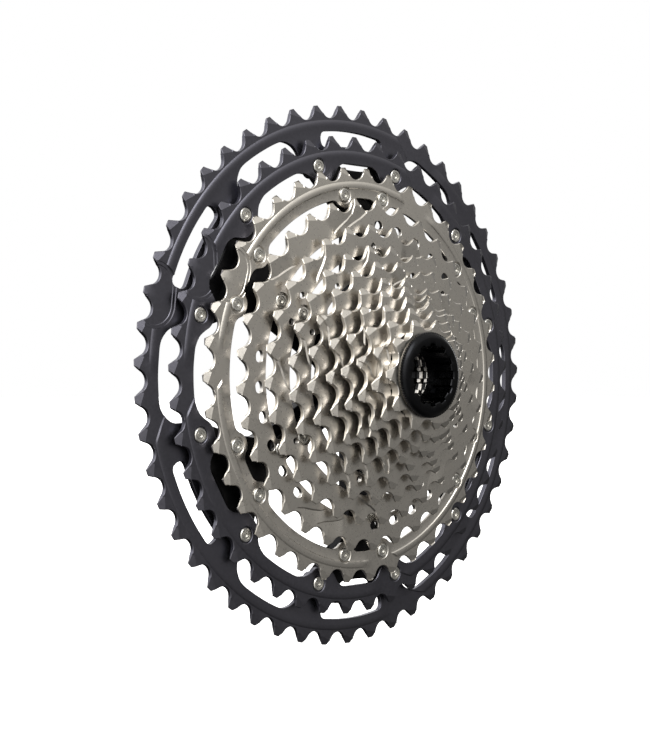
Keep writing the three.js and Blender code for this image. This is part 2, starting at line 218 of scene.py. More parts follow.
def tooth_loop(teeth, phase):
    """Tooth lands with small round corners, straight flanks and round roller seats."""
    pitch, tip = pitch_radius(teeth), tip_radius(teeth)
    corner = 0.28
    opening = math.radians(SEAT_OPENING)
    seat_turns = np.linspace(-opening, opening, 15)
    seat = np.stack([pitch - SEAT_RADIUS * np.cos(seat_turns), SEAT_RADIUS * np.sin(seat_turns)], -1)
    points = []
    for k in range(teeth):
        middle = phase + 360 * k / teeth
        half = 180 / teeth
        left_end = turn(seat[-1:], middle - half)[0]
        right_start = turn(seat[:1], middle + half)[0]
        left_tip, right_tip = turn([(tip, -TIP_HALF_WIDTH), (tip, TIP_HALF_WIDTH)], middle)
        for a, b, c in ((left_end, left_tip, right_tip), (left_tip, right_tip, right_start)):
            u, v = a - b, c - b
            start, end = b + u / np.linalg.norm(u) * corner, b + v / np.linalg.norm(v) * corner
            arc = [(1 - t) ** 2 * start + 2 * t * (1 - t) * b + t * t * end for t in (0, 0.33, 0.67, 1)]
            if a is left_end:
                points += [left_end + (start - left_end) * t for t in (0.2, 0.4, 0.6, 0.8)]
                points += arc
            else:
                points += arc
                points += [end + (right_start - end) * t for t in (0.2, 0.4, 0.6, 0.8)]
        points += list(turn(seat, middle + half))
    return np.array(points)


def lugged_loop(rim, lug_circle, lug_radius, fillet, angles):
    """The inner edge of a rim with round lugs that blend into it."""
    centre = rim - fillet
    cosine = (centre**2 + lug_circle**2 - (lug_radius + fillet) ** 2) / (2 * centre * lug_circle)
    alpha = math.acos(cosine)
    fc = np.array([centre * math.cos(alpha), centre * math.sin(alpha)])
    to_lug = np.array([lug_circle, 0]) - fc
    lug_turn = math.atan2(-to_lug[1], -to_lug[0])
    fillet_start = math.atan2(to_lug[1], to_lug[0])
    lug = [
        (lug_circle + lug_radius * math.cos(t), lug_radius * math.sin(t))
        for t in np.linspace(-lug_turn, lug_turn - 2 * math.pi, 25)
    ]
    fillet_turns = np.linspace(fillet_start, alpha - (2 * math.pi if alpha > fillet_start else 0), 9)
    if abs(fillet_turns[-1] - fillet_turns[0]) > math.pi:
        fillet_turns = np.linspace(fillet_start, alpha, 9)
    corner = [fc + fillet * np.array([math.cos(t), math.sin(t)]) for t in fillet_turns]
    upper = [(p[0], p[1]) for p in corner]
    lower = [(u, -v) for u, v in reversed(upper)]
    points = []
    edge = math.degrees(alpha)
    for i, angle in enumerate(angles):
        points += list(turn(lower[:-1], angle))
        points += list(turn(lug, angle))
        points += list(turn(upper[1:], angle))
        following = angles[i + 1] if i + 1 < len(angles) else angles[0] + 360
        span = following - angle - 2 * edge
        count = max(2, int(span * math.pi / 180 * rim / 1.6))
        points += list(polar(rim, angle + edge + span * np.arange(1, count) / count))
    return np.array(points)


def linked_loop(half, rim, corner):
    """The inner edge of a large rim, with a pair of lugs at each arm."""
    points = []
    for arm in ARM_ANGLES:
        points += [polar(radius, arm - turned) for radius, turned in half]
        points += [polar(radius, arm + turned) for radius, turned in reversed(half)]
        points += [polar(rim, arm + turned) for turned in range(24, 37, 2)]
    return refined(rounded(points, corner), 1.6)


def slot_loop(arm):
    """The slot between the largest rim and the bar that joins two of its lugs."""
    right = [polar(radius, arm + turned) for radius, turned in HALF_SLOT]
    left = [polar(radius, arm - turned) for radius, turned in reversed(HALF_SLOT)]
    points = [polar(SLOT_INNER, arm), *right, polar(RIM_51, arm), *left]
    return refined(rounded(points, 2.9), 1.6)[::-1]


def spline_loop():
    """Ridges and grooves of the bore that slides over the freewheel body."""
    points = []
    step = 360 / SPLINES
    for k in range(SPLINES):
        middle = k * step
        for share in (-0.26, -0.13, 0, 0.13, 0.26):
            points.append(polar(SPLINE_VALLEY, middle + share * step))
        for share in (0.36, 0.5, 0.64):
            points.append(polar(SPLINE_CREST, middle + share * step))
    return np.array(points)


def inside(points, loop):
    """Which points lie inside a closed loop."""
    out = np.zeros(len(points), bool)
    low, high = loop.min(0), loop.max(0)
    near = np.all((points >= low) & (points <= high), 1)
    p = points[near]
    hit = np.zeros(len(p), bool)
    a, b = loop, np.roll(loop, -1, 0)
    for (ax, ay), (bx, by) in zip(a, b):
        if ay == by:
            continue
        crosses = ((ay > p[:, 1]) != (by > p[:, 1])) & (
            p[:, 0] < (bx - ax) * (p[:, 1] - ay) / (by - ay) + ax
        )
        hit ^= crosses
    out[near] = hit
    return out


# ---- Meshes ------------------------------------------------------------------------------------


def world(points):
    """Local millimetres to the row frame, in metres."""
    p = np.asarray(points, float)
    return np.column_stack([p[:, 0], -p[:, 2], p[:, 1]]) * 0.001


def make_object(name, points, faces, crease=26):
    mesh = bpy.data.meshes.new(name)
    mesh.from_pydata([tuple(p) for p in world(points)], [], [tuple(int(i) for i in f) for f in faces])
    mesh.update()
    mesh.shade_smooth()
    mesh.set_sharp_from_angle(angle=math.radians(crease))
    obj = bpy.data.objects.new(name, mesh)
    bpy.context.scene.collection.objects.link(obj)
    return obj


class Plate:
    """A plate drawn as flat loops and lines, triangulated once and given a front and a back height."""

    def __init__(self):
        self.points, self.edges, self.drops, self.outlines = [], [], [], []

    def line(self, points, drop=0.0, closed=False):
        start = len(self.points)
        count = len(points)
        self.points += [tuple(p) for p in points]
        self.drops += [drop] * count
        last = count if closed else count - 1
        self.edges += [(start + i, start + (i + 1) % count) for i in range(last)]

    def loop(self, points, drop=0.0):
        self.line(points, drop, closed=True)

    def scatter(self, points):
        self.points += [tuple(p) for p in points]
        self.drops += [0.0] * len(points)

    def outline(self, points, chamfer, outer=True):
        """An edge of the plate, with a narrow chamfer on both faces."""
        self.outlines.append((np.asarray(points), outer))
        self.loop(points, drop=chamfer)
        self.loop(inset(points, chamfer if outer else -chamfer))

    def build(self, name, front, back, crease=26):
        flat = [Vector(p) for p in self.points]
        verts, _, faces, origin, _, _ = delaunay_2d_cdt(flat, self.edges, [], 0, 1e-5)
        xy = np.array([(v.x, v.y) for v in verts])
        drop = np.array([max((self.drops[i] for i in ids), default=0.0) for ids in origin])
        tri = np.array(faces)
        middle = xy[tri].mean(1)
        keep = np.zeros(len(tri), bool)
        for loop, outer in self.outlines:
            if outer:
                keep |= inside(middle, loop)
        for loop, outer in self.outlines:
            if not outer:
                keep &= ~inside(middle, loop)
        tri = tri[keep]
        a, b, c = xy[tri[:, 0]], xy[tri[:, 1]], xy[tri[:, 2]]
        area = (b[:, 0] - a[:, 0]) * (c[:, 1] - a[:, 1]) - (b[:, 1] - a[:, 1]) * (c[:, 0] - a[:, 0])
        tri[area < 0] = tri[area < 0][:, ::-1]
        used = np.unique(tri)
        place = np.full(len(xy), -1)
        place[used] = np.arange(len(used))
        tri, xy, drop = place[tri], xy[used], drop[used]
        top, bottom = front(xy) - drop, back(xy) + drop
        n = len(xy)
        points = np.vstack([np.column_stack([xy, top]), np.column_stack([xy, bottom])])
        sides = {}
        for f in tri:
            for i in range(3):
                sides[(int(f[i]), int(f[(i + 1) % 3]))] = True
        walls = [(a + n, b + n, b, a) for a, b in sides if (b, a) not in sides]
        faces = list(tri) + list(tri[:, ::-1] + n) + walls
        return make_object(name, points, faces, crease)


def rings(name, stations, count, centre=(0, 0), crease=26):
    """A turned piece. Each station is (radius, height); radius may be an array, one per step round."""
    angles = np.arange(count) * 360 / count
    points, rows = [], []
    for radius, height in stations:
        if np.isscalar(radius) and radius == 0:
            rows.append([len(points)] * count)
            points.append((centre[0], centre[1], height))
            continue
        xy = polar(np.broadcast_to(radius, count), angles) + np.asarray(centre)
        rows.append(list(range(len(points), len(points) + count)))
        points += [(x, y, height) for x, y in xy]
    faces = []
    pairs = list(zip(rows, rows[1:]))
    if not (np.isscalar(stations[0][0]) and stations[0][0] == 0):
        pairs.append((rows[-1], rows[0]))
    for low, high in pairs:
        for i in range(count):
            j = (i + 1) % count
            face = [low[i], low[j], high[j], high[i]]
            face = [p for k, p in enumerate(face) if p != face[k - 1]]
            if len(face) > 2:
                faces.append(face)
    return make_object(name, points, faces, crease)


# ---- Materials ---------------------------------------------------------------------------------


def material(name, base, spread, metallic, roughness, bump, scale, warm=None):
    """Metal with a fine tumbled grain: small changes of colour and roughness, and a faint bump."""
    m = bpy.data.materials.new(name)
    m.use_nodes = True
    nodes, links = m.node_tree.nodes, m.node_tree.links
    shader = nodes["Principled BSDF"]
    shader.inputs["Metallic"].default_value = metallic
    coords = nodes.new("ShaderNodeTexCoord")
    grain = nodes.new("ShaderNodeTexNoise")
    grain.inputs["Scale"].default_value = scale
    grain.inputs["Detail"].default_value = 6
    cloud = nodes.new("ShaderNodeTexNoise")
    cloud.inputs["Scale"].default_value = scale / 40
    cloud.inputs["Detail"].default_value = 3
    for texture in (grain, cloud):
        links.new(coords.outputs["Object"], texture.inputs["Vector"])
    mixed = nodes.new("ShaderNodeMath")
    mixed.operation = "MULTIPLY_ADD"
    links.new(grain.outputs["Fac"], mixed.inputs[0])
    mixed.inputs[1].default_value = 0.4
    links.new(cloud.outputs["Fac"], mixed.inputs[2])
    ramp = nodes.new("ShaderNodeValToRGB")
    ramp.color_ramp.elements[0].position = 0.45
    ramp.color_ramp.elements[1].position = 0.95
    low = [c * (1 - spread) for c in base]
    high = [min(1.0, c * (1 + spread)) for c in (warm or base)]
    ramp.color_ramp.elements[0].color = (*low, 1)
    ramp.color_ramp.elements[1].color = (*high, 1)
    links.new(mixed.outputs[0], ramp.inputs["Fac"])
    links.new(ramp.outputs["Color"], shader.inputs["Base Color"])
    rough = nodes.new("ShaderNodeMapRange")
    rough.inputs["From Min"].default_value = 0.3
    rough.inputs["From Max"].default_value = 0.7
    rough.inputs["To Min"].default_value = roughness - 0.05
    rough.inputs["To Max"].default_value = roughness + 0.05
    links.new(grain.outputs["Fac"], rough.inputs["Value"])
    links.new(rough.outputs["Result"], shader.inputs["Roughness"])
    relief = nodes.new("ShaderNodeBump")
    relief.inputs["Strength"].default_value = bump
    relief.inputs["Distance"].default_value = 0.00003
    links.new(grain.outputs["Fac"], relief.inputs["Height"])
    links.new(relief.outputs["Normal"], shader.inputs["Normal"])
    return m


MATERIALS = {
    "dark_alloy": material("dark_alloy_look", (0.112, 0.111, 0.132), 0.10, 1.0, 0.39, 0.2, 900),
    "plated_steel": material(
        "plated_steel_look", (0.61, 0.585, 0.55), 0.05, 1.0, 0.31, 0.12, 1100, warm=(0.62, 0.59, 0.545)
    ),
    "rivet_steel": material("rivet_steel_look", (0.64, 0.63, 0.60), 0.04, 1.0, 0.27, 0.06, 1500),
    "black_alloy": material("black_alloy_look", (0.012, 0.012, 0.013), 0.15, 0.9, 0.42, 0.3, 900),
    "spacer_alloy": material("spacer_look", (0.012, 0.012, 0.013), 0.15, 0.6, 0.45, 0.3, 900),
    "washer_steel": material("washer_look", (0.42, 0.40, 0.37), 0.06, 1.0, 0.35, 0.2, 1100),
    "lockring_black": material("lockring_look", (0.018, 0.0185, 0.0205), 0.12, 1.0, 0.24, 0.1, 900),
}


def finished(obj, node, body, slot):
    obj.data.materials.append(MATERIALS[slot])
    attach(obj, body)
    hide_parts(node)
    return obj


# ---- Sprockets ---------------------------------------------------------------------------------


def levels(index):
    half = (ALLOY_THICKNESS if SPROCKETS[index][0] > LARGEST_STEEL else STEEL_THICKNESS) / 2
    return index * STEP - half, index * STEP + half


# Raised bands of the three largest sprockets: (distance below the roots, height above the teeth)
ALLOY_BAND = [
    (0.7, 0), (0.95, 0.14), (1.25, 0.29), (1.7, 0.39), (2.3, 0.42), (3.1, 0.4), (4.2, 0.3), (6.5, 0.22),
]
STEEL_BAND = [
    (0.7, 0), (0.95, 0.15), (1.3, 0.32), (1.8, 0.41), (2.6, 0.42), (3.2, 0.34), (3.55, 0.06), (3.8, 0),
]
BAND_HEIGHT = 0.42
STEP_WIDTH = 0.9
FACET_TILT = 0.45
FACET_LENGTH = 2.5
FRONT_FACET_SLOPE = 0.37
BACK_FACET_SLOPE = 0.18
BAND_MIDDLE = 2.5  # below the roots
STEP_SLANT = 0.9  # degrees for each millimetre of radius
POCKET_WALL = 3.0

# Where the band is cut away to let the chain across: it fades from the first angle and starts
# again at the second, behind a slanted step.
BAND_CUTS = {
    51: [(176, 192), (56, 73), (279, 294)],
    45: [(174, 188), (55, 70), (275, 289)],
    39: [(169, 182), (57, 72), (269, 283)],
}
# Round-ended milled flats over a few teeth: radius and angle of each end, and the cutter's radius
SCALLOPS = {
    51: [(100.3, 162.2, 99.3, 165.5, 9.0)],
    45: [(90, 152.2, 86.5, 156.5, 8.6)],
    39: [(76.5, 150, 75.5, 153.5, 8.3)],
}
SCALLOP_DEPTH = 0.35
# Shift ramps of the smaller sprockets: the angle at which each starts, at the tooth tips, and
# whether its lip turns with (1) or against (-1) the angle as it runs inwards
RAMPS = {
    33: [(97, 1), (90, 1), (149, -1), (229, 1), (240, 1), (345, 1)],
    28: [(120, 1), (172, 1), (271, -1), (60, 1), (300, 1)],
    24: [(161, 1), (100, 1), (247, -1), (30, 1)],
    21: [(150, 1), (252, -1), (75, 1), (320, 1)],
    18: [(165, 1), (95, 1), (262, -1), (20, 1)],
    16: [(140, 1), (65, 1), (230, -1)],
    14: [(170, 1), (80, 1), (290, -1)],
    12: [(150, 1), (40, 1)],
}
RAMP_DEPTH = 0.5
RAMP_LIP = 0.55


def band_share(teeth, r, phi):
    """How much of a raised band is left, from 1 down to 0, and the distance past a cut's step."""
    left = np.ones(len(r))
    for start, end in BAND_CUTS[teeth]:
        middle = pitch_radius(teeth) - SEAT_RADIUS - BAND_MIDDLE
        turned = (phi - start + 180) % 360 - 180
        fade = np.clip(1 - turned / 4, 0, 1)
        step = (phi - end - (r - middle) * STEP_SLANT + 180) % 360 - 180
        past = np.clip(np.radians(step) * r / STEP_WIDTH, 0, 1)
        inside_cut = (turned > 0) & (turned < end - start + 8)
        left = np.where(inside_cut, np.maximum(fade, past), left)
    return left


def step_line(teeth, end, offset, outer, inner):
    """The line of a band's slanted step, moved along the teeth by an offset in millimetres."""
    middle = pitch_radius(teeth) - SEAT_RADIUS - BAND_MIDDLE
    radii = np.linspace(outer, inner, 9)
    return [polar(r, end + (r - middle) * STEP_SLANT + math.degrees(offset / r)) for r in radii]


def capsule(ends, radius):
    """The outline of everything within a radius of the line between two points."""
    r1, a1, r2, a2 = ends
    p, q = polar(r1, a1), polar(r2, a2)
    heading = math.degrees(math.atan2(*(q - p)[::-1]))
    first = [polar(radius, heading + 90 + t) + p for t in np.linspace(0, 180, 25)]
    second = [polar(radius, heading - 90 + t) + q for t in np.linspace(0, 180, 25)]
    return np.array(first + second)


def ramp_lip(teeth):
    """The curved lip of a shift ramp: degrees turned and radius, from a tooth tip inwards."""
    root = pitch_radius(teeth) - SEAT_RADIUS
    shape = [(-0.5, 5.6), (0.8, 2.0), (2.5, -1.2), (5.5, -3.2), (9.0, -4.6), (12.5, -6.0), (15.5, -7.8)]
    fine = np.linspace(0, len(shape) - 1, 25)
    turned = np.interp(fine, range(len(shape)), [v[0] for v in shape])
    below = np.interp(fine, range(len(shape)), [v[1] for v in shape])
    return turned, root + below * min(1.0, 0.35 + teeth / 50)


def sprocket(index, name, inner, body, slot, pockets=(), band=None, pocket_edge=0.35, collar=None, holes=()):
    teeth, phase = SPROCKETS[index]
    back_level, front_level = levels(index)
    pitch, tip = pitch_radius(teeth), tip_radius(teeth)
    root = pitch - SEAT_RADIUS
    plate = Plate()
    plate.outline(tooth_loop(teeth, phase), 0.2 if teeth > LARGEST_STEEL else 0.25)
    plate.outline(inner, 0.22, outer=False)
    for hole in holes:
        plate.outline(hole, 0.12, outer=False)
    tooth_face = front_level - (BAND_HEIGHT if band else 0.0)
    crease = tip - FACET_LENGTH
    for k in range(teeth):
        middle = phase + 360 * k / teeth
        across = [(crease + FACET_TILT * v, v) for v in np.linspace(-2.1, 2.1, 7)]
        plate.line(turn(across, middle))
    pocket_top = POCKET_WALL + pocket_edge
    scallops = SCALLOPS.get(teeth, []) if band else []
    if band:
        for below, _ in band:
            plate.loop(circle(root - below, int((root - below) * 4.2)))
        for _, end in BAND_CUTS[teeth]:
            for offset in (0, STEP_WIDTH / 2, STEP_WIDTH):
                plate.line(step_line(teeth, end, offset, root + 1, root - 6))
        for ends in scallops:
            for radius in (0, 0.22, 1.25, 1.47):
                plate.loop(capsule(ends[:4], ends[4] - radius))
    ramps = [] if band else RAMPS.get(teeth, [])
    lip_turn, lip_radius = ramp_lip(teeth)
    for start, sense in ramps:
        for offset in (0, RAMP_LIP):
            plate.line(polar(lip_radius + offset, start + sense * lip_turn))
    for centre in pockets:
        plate.outline(circle(RIVET_HOLE, 20, centre), 0.05, outer=False)
        plate.loop(circle(POCKET_WALL, 32, centre))
        plate.loop(circle(POCKET_WALL + 0.05, 32, centre))
        plate.loop(circle(pocket_top, 32, centre))
    if collar:
        plate.loop(circle(collar[0], 64))
        plate.loop(circle(collar[0] - 0.05, 64))
    spacing = 360 / teeth

    def front(xy):
        r = np.hypot(xy[:, 0], xy[:, 1])
        phi = np.degrees(np.arctan2(xy[:, 1], xy[:, 0]))
        offset = (phi - phase + spacing / 2) % spacing - spacing / 2
        across = np.radians(offset) * r
        h = np.full(len(xy), tooth_face)
        h -= FRONT_FACET_SLOPE * np.clip(r - crease - FACET_TILT * across, 0, None) * (r > pitch - 2)
        if band:
            below = [b for b, _ in band]
            raised = np.interp(root - r, below, [v for _, v in band])
            h += raised * band_share(teeth, r, phi)
        for r1, a1, r2, a2, radius in scallops:
            p, q = polar(r1, a1), polar(r2, a2)
            along = np.clip((xy - p) @ (q - p) / np.sum((q - p) ** 2), 0, 1)
            far = np.linalg.norm(xy - p - along[:, None] * (q - p), axis=1)
            floor = tooth_face - SCALLOP_DEPTH * 0.5 * (far < radius - 0.2)
            floor -= SCALLOP_DEPTH * 0.5 * (far < radius - 1.45)
            h = np.where(far < radius - 0.2, np.minimum(h, floor), h)
        cut = np.zeros(len(xy))
        for start, sense in ramps:
            t = sense * ((phi - start + 180) % 360 - 180)
            lip = np.interp(t, lip_turn, lip_radius)
            within = (t > lip_turn[0]) & (t < lip_turn[-1]) & (r > lip + RAMP_LIP - 0.03)
            depth = RAMP_DEPTH * np.clip(1.15 - (r - lip) / 7, 0.3, 1)
            cut = np.where(within, np.maximum(cut, depth * np.clip((lip_turn[-1] - t) / 4, 0, 1)), cut)
        h -= cut
        for centre in pockets:
            d = np.hypot(xy[:, 0] - centre[0], xy[:, 1] - centre[1])
            h = np.where(d < POCKET_WALL + 0.02, front_level - POCKET_DEPTH, h)
            ring = (d >= POCKET_WALL + 0.02) & (d < pocket_top)
            h = np.where(ring, h - 0.7 * (pocket_top - d), h)
        return h

    def back(xy):
        r = np.hypot(xy[:, 0], xy[:, 1])
        h = np.full(len(xy), back_level)
        h += BACK_FACET_SLOPE * np.clip(r - crease, 0, None) * (r > pitch - 2)
        if collar:
            h = np.where(r < collar[0] - 0.02, collar[1], h)
        return h

    obj = plate.build(name, front, back, crease=17)
    return finished(obj, name[:-5], body, slot)


def sprocket_name(index):
    return f"sprocket_{SPROCKETS[index][0]}t_look"


outer_centres = [polar(OUTER_RIVET_CIRCLE, a) for a in OUTER_RIVET_ANGLES]
inner_centres = [polar(INNER_RIVET_CIRCLE, a) for a in INNER_RIVET_ANGLES]

link_51 = linked_loop(HALF_LINK_51, RIM_51, 2.4)
slots = [slot_loop(a) for a in ARM_ANGLES]
sprocket(0, sprocket_name(0), link_51, "large_unit", "dark_alloy", band=ALLOY_BAND, holes=slots)
link_45 = linked_loop(HALF_LINK_45, RIM_45, 1.6)
sprocket(1, sprocket_name(1), link_45, "large_unit", "dark_alloy", outer_centres, ALLOY_BAND)
edge_39 = lugged_loop(RIM_39, INNER_RIVET_CIRCLE, 5, 4.0, INNER_RIVET_ANGLES)
sprocket(2, sprocket_name(2), edge_39, "large_unit", "plated_steel", inner_centres, STEEL_BAND)


def teardrop(radius, angle):
    """A lightening hole under a tooth, wider across than it is high."""
    corners = [
        (radius - 1.8, -1.2), (radius - 0.4, -2.6), (radius + 1.8, -1.4), (radius + 1.3, 2.2),
        (radius - 1.6, 2),
    ]
    return rounded(turn(corners, angle), 1.5)


def holes_of(teeth):
    if teeth == 33:
        drilled = [*range(5, 9), *range(12, 18), *range(25, 30)]
        return [teardrop(57.9, -1.1 - 360 / 33 * k) for k in drilled]
    if teeth == 28:
        return [circle(1.25, 16, polar(49.2, a)) for a in (209, 157, 144, 93, 41, 300, 336)]
    return [circle(1.2, 16, polar(41.4, a)) for a in (128, 158, 68, 250, 10)]


for index, rim, circle_radius, angles in SMALL_UNIT:
    centres = [polar(circle_radius, a) for a in angles]
    edge = lugged_loop(rim, circle_radius, 3.6, 2.5, angles)
    cuts = holes_of(SPROCKETS[index][0])
    sprocket(
        index, sprocket_name(index), edge, "small_unit", "plated_steel", centres, pocket_edge=0.25, holes=cuts
    )

for index in (6, 7, 8, 9):
    name = sprocket_name(index)
    sprocket(index, name, spline_loop(), name[:-5], "plated_steel")
collar_12 = (SPACER_RADIUS, levels(9)[1] + GAP)
sprocket(10, sprocket_name(10), spline_loop(), "sprocket_12t", "plated_steel", collar=collar_12)
collar_10 = (17.6, levels(10)[1] + GAP)
bore_10 = circle(SMALLEST_BORE, 96)
sprocket(11, sprocket_name(11), bore_10, "sprocket_10t", "plated_steel", collar=collar_10)

# ---- Rivets ------------------------------------------------------------------------------------


def rivet(node, body):
    low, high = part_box(node)
    x, y = (low.x + high.x) * 500, (low.z + high.z) * 500
    back, front = -high.y * 1000, -low.y * 1000
    t = HEAD_THICKNESS
    if node.startswith("cluster"):
        front -= 0.3
    stations = [
        (0, back), (HEAD_RADIUS - 0.3, back), (HEAD_RADIUS, back + 0.2), (HEAD_RADIUS, back + t),
        (SHANK_RADIUS, back + t), (SHANK_RADIUS, front - t), (HEAD_RADIUS, front - t),
        (HEAD_RADIUS, front - 0.25), (HEAD_RADIUS - 0.25, front), (1.75, front), (1.68, front - 0.32),
        (1.42, front - 0.32), (1.32, front - 0.06), (0.86, front - 0.06), (0.78, front - 0.6),
        (0, front - 0.5),
    ]
    obj = rings(f"{node}_look", stations, 32, (x, y), crease=24)
    return finished(obj, node, body, "rivet_steel")


for node in sorted(frame["nodes"]):
    if "rivet" in node:
        rivet(node, "small_unit" if node.startswith("cluster") else "large_unit")

# ---- Carriers ----------------------------------------------------------------------------------


def arm_loop(angle, half, corner):
    points = [(u, -v) for u, v in half] + [(u, v) for u, v in reversed(half)]
    return refined(rounded(turn(points, angle), corner), 3)


def large_carrier():
    plate = Plate()
    arm_back = levels(0)[1] + GAP
    fork_front = levels(1)[0] - GAP
    arm_front = levels(2)[0] - GAP
    bevel = 0.35
    hub = circle(LARGE_HUB_RADIUS, 120)
    arms = [arm_loop(a, HALF_ARM, 2.5) for a in ARM_ANGLES]
    forks = [arm_loop(a, HALF_FORK, 2.5) for a in ARM_ANGLES]
    plate.outlines.append((hub, True))
    plate.loop(hub)
    plate.loop(circle(LARGE_HUB_RADIUS - bevel, 120))
    for loops in (arms, forks):
        for loop in loops:
            plate.outlines.append((loop, True))
            plate.loop(loop)
            plate.loop(inset(loop, bevel))
    plate.outline(spline_loop(), 0.2, outer=False)
    for a in OUTER_RIVET_ANGLES:
        plate.outline(circle(RIVET_HOLE, 20, polar(OUTER_RIVET_CIRCLE, a)), 0.05, outer=False)
    for a in INNER_RIVET_ANGLES:
        plate.outline(circle(RIVET_HOLE, 20, polar(INNER_RIVET_CIRCLE, a)), 0.05, outer=False)
    inner_arms = [inset(loop, bevel - 0.02) for loop in arms]
    inner_forks = [inset(loop, bevel - 0.02) for loop in forks]
    outer_arms = [inset(loop, 0.05) for loop in arms]

    def front(xy):
        r = np.hypot(xy[:, 0], xy[:, 1])
        h = np.full(len(xy), fork_front - bevel)
        for loop in inner_forks:
            h = np.where(inside(xy, loop), fork_front, h)
        for loop in outer_arms:
            h = np.where(inside(xy, loop), arm_front - bevel, h)
        for loop in inner_arms:
            h = np.where(inside(xy, loop), arm_front, h)
        h = np.where(r < LARGE_HUB_RADIUS + 0.01, LARGE_HUB_FRONT - bevel, h)
        return np.where(r < LARGE_HUB_RADIUS - bevel + 0.02, LARGE_HUB_FRONT, h)

    def back(xy):
        r = np.hypot(xy[:, 0], xy[:, 1])
        h = np.full(len(xy), arm_back + 0.2)
        for loop in inner_forks + inner_arms:
            h = np.where(inside(xy, loop), arm_back, h)
        h = np.where(r < LARGE_HUB_RADIUS + 0.01, bevel, h)
        return np.where(r < LARGE_HUB_RADIUS - bevel + 0.02, 0, h)

    obj = plate.build("large_carrier_look", front, back)
    return finished(obj, "large_carrier", "large_unit", "black_alloy")


def small_carrier():
    plate = Plate()
    back_level = LARGE_HUB_FRONT + GAP
    bevel = 0.3
    steps = []
    for index, _, rivets, angles in SMALL_UNIT:
        front_level = levels(index)[0] - GAP
        end, half = rivets + SMALL_ARM_HALF_WIDTH, SMALL_ARM_HALF_WIDTH
        width = half + 0.05 * (5 - index)
        for a in angles:
            loop = arm_loop(a, [(14, width), (end - 2, width), (end, width - 2)], 1.2)
            steps.append((loop, front_level))
            plate.outlines.append((loop, True))
            plate.loop(loop)
            plate.loop(inset(loop, bevel))
            plate.outline(circle(RIVET_HOLE, 20, polar(rivets, a)), 0.05, outer=False)
    hub = circle(LARGE_HUB_RADIUS, 120)
    plate.outlines.append((hub, True))
    plate.loop(hub)
    plate.loop(circle(LARGE_HUB_RADIUS - bevel, 120))
    plate.outline(spline_loop(), 0.2, outer=False)
    tested = [(inset(loop, 0.04), inset(loop, bevel - 0.02), level) for loop, level in steps]

    def front(xy):
        r = np.hypot(xy[:, 0], xy[:, 1])
        h = np.full(len(xy), levels(3)[0] - GAP - bevel)
        for outer, inner, level in tested:
            h = np.where(inside(xy, outer), level - bevel, h)
            h = np.where(inside(xy, inner), level, h)
        h = np.where(r < LARGE_HUB_RADIUS + 0.01, SMALL_HUB_FRONT - bevel, h)
        return np.where(r < LARGE_HUB_RADIUS - bevel + 0.02, SMALL_HUB_FRONT, h)

    def back(xy):
        h = np.full(len(xy), back_level + 0.25)
        for outer, inner, level in tested:
            h = np.where(inside(xy, inner), back_level, h)
        return h

    obj = plate.build("small_carrier_look", front, back)
    return finished(obj, "small_carrier", "small_unit", "black_alloy")


large_carrier()
small_carrier()

# ---- Spacers, washer and lockring --------------------------------------------------------------


def ring_piece(node, body, slot, inner, outer, chamfer, count=96):
    low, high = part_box(node)
    back, front = -high.y * 1000, -low.y * 1000
    stations = [
        (inner, back + chamfer), (inner + chamfer, back), (outer - chamfer, back), (outer, back + chamfer),
        (outer, front - chamfer), (outer - chamfer, front), (inner + chamfer, front),
        (inner, front - chamfer),
    ]
    obj = rings(f"{node}_look", stations, count)
    return finished(obj, node, body, slot)


for node in ("spacer_24_21", "spacer_21_18", "spacer_18_16", "spacer_16_14"):
    ring_piece(node, node, "spacer_alloy", SPACER_BORE, SPACER_RADIUS - 0.1, 0.25)
ring_piece("lockring_washer", "lockring_washer", "washer_steel", 14, 15.4, 0.08)


def lockring():
    count = 12 * 24
    angles = np.arange(count) * 360 / count
    pitch = 360 / SOCKET_NOTCHES
    share = np.abs((angles / pitch + 0.5) % 1 - 0.5)
    rise = np.clip((0.28 - share) / 0.08, 0, 1)
    notch = SOCKET_RADIUS + (SOCKET_NOTCH_RADIUS - SOCKET_RADIUS) * rise
    knurl = LOCKRING_RADIUS - 0.02 - 0.45 * (np.arange(count) % 3 == 0)
    floor = LOCKRING_FRONT - SOCKET_DEPTH
    stations = [
        (SOCKET_RADIUS, SLEEVE_BACK + 0.3), (SOCKET_RADIUS, floor), (notch, floor + 0.02),
        (notch, LOCKRING_FRONT - 0.3), (notch + 0.25, LOCKRING_FRONT - 0.03),
        (notch + 0.4, LOCKRING_FRONT), (LOCKRING_FACE_RADIUS - 0.25, LOCKRING_FRONT),
        (LOCKRING_FACE_RADIUS, LOCKRING_FRONT - 0.06), (LOCKRING_FACE_RADIUS + 0.8, LOCKRING_FRONT - 0.4),
        (LOCKRING_FACE_RADIUS + 1.3, LOCKRING_SHOULDER + 0.15),
        (LOCKRING_FACE_RADIUS + 1.5, LOCKRING_SHOULDER),
        (knurl, LOCKRING_SHOULDER - 0.15),
        (knurl, LOCKRING_BACK + 0.15), (LOCKRING_RADIUS - 0.4, LOCKRING_BACK),
        (SLEEVE_RADIUS - 0.6, LOCKRING_BACK),
    ]
    height = LOCKRING_BACK - 1.6
    while height > SLEEVE_BACK + 1.2:
        stations += [(SLEEVE_RADIUS - 0.6, height + 0.1), (SLEEVE_RADIUS, height - 0.35)]
        stations += [(SLEEVE_RADIUS, height - 0.5)]
        height -= 1.0
    stations += [(SLEEVE_RADIUS - 0.6, SLEEVE_BACK + 0.6), (SLEEVE_RADIUS - 0.9, SLEEVE_BACK)]
    stations += [(SOCKET_RADIUS + 0.3, SLEEVE_BACK)]
    obj = rings("lockring_look", stations[::-1], count)
    return finished(obj, "lockring", "lockring", "lockring_black")


lockring()

# ---- Studio ------------------------------------------------------------------------------------


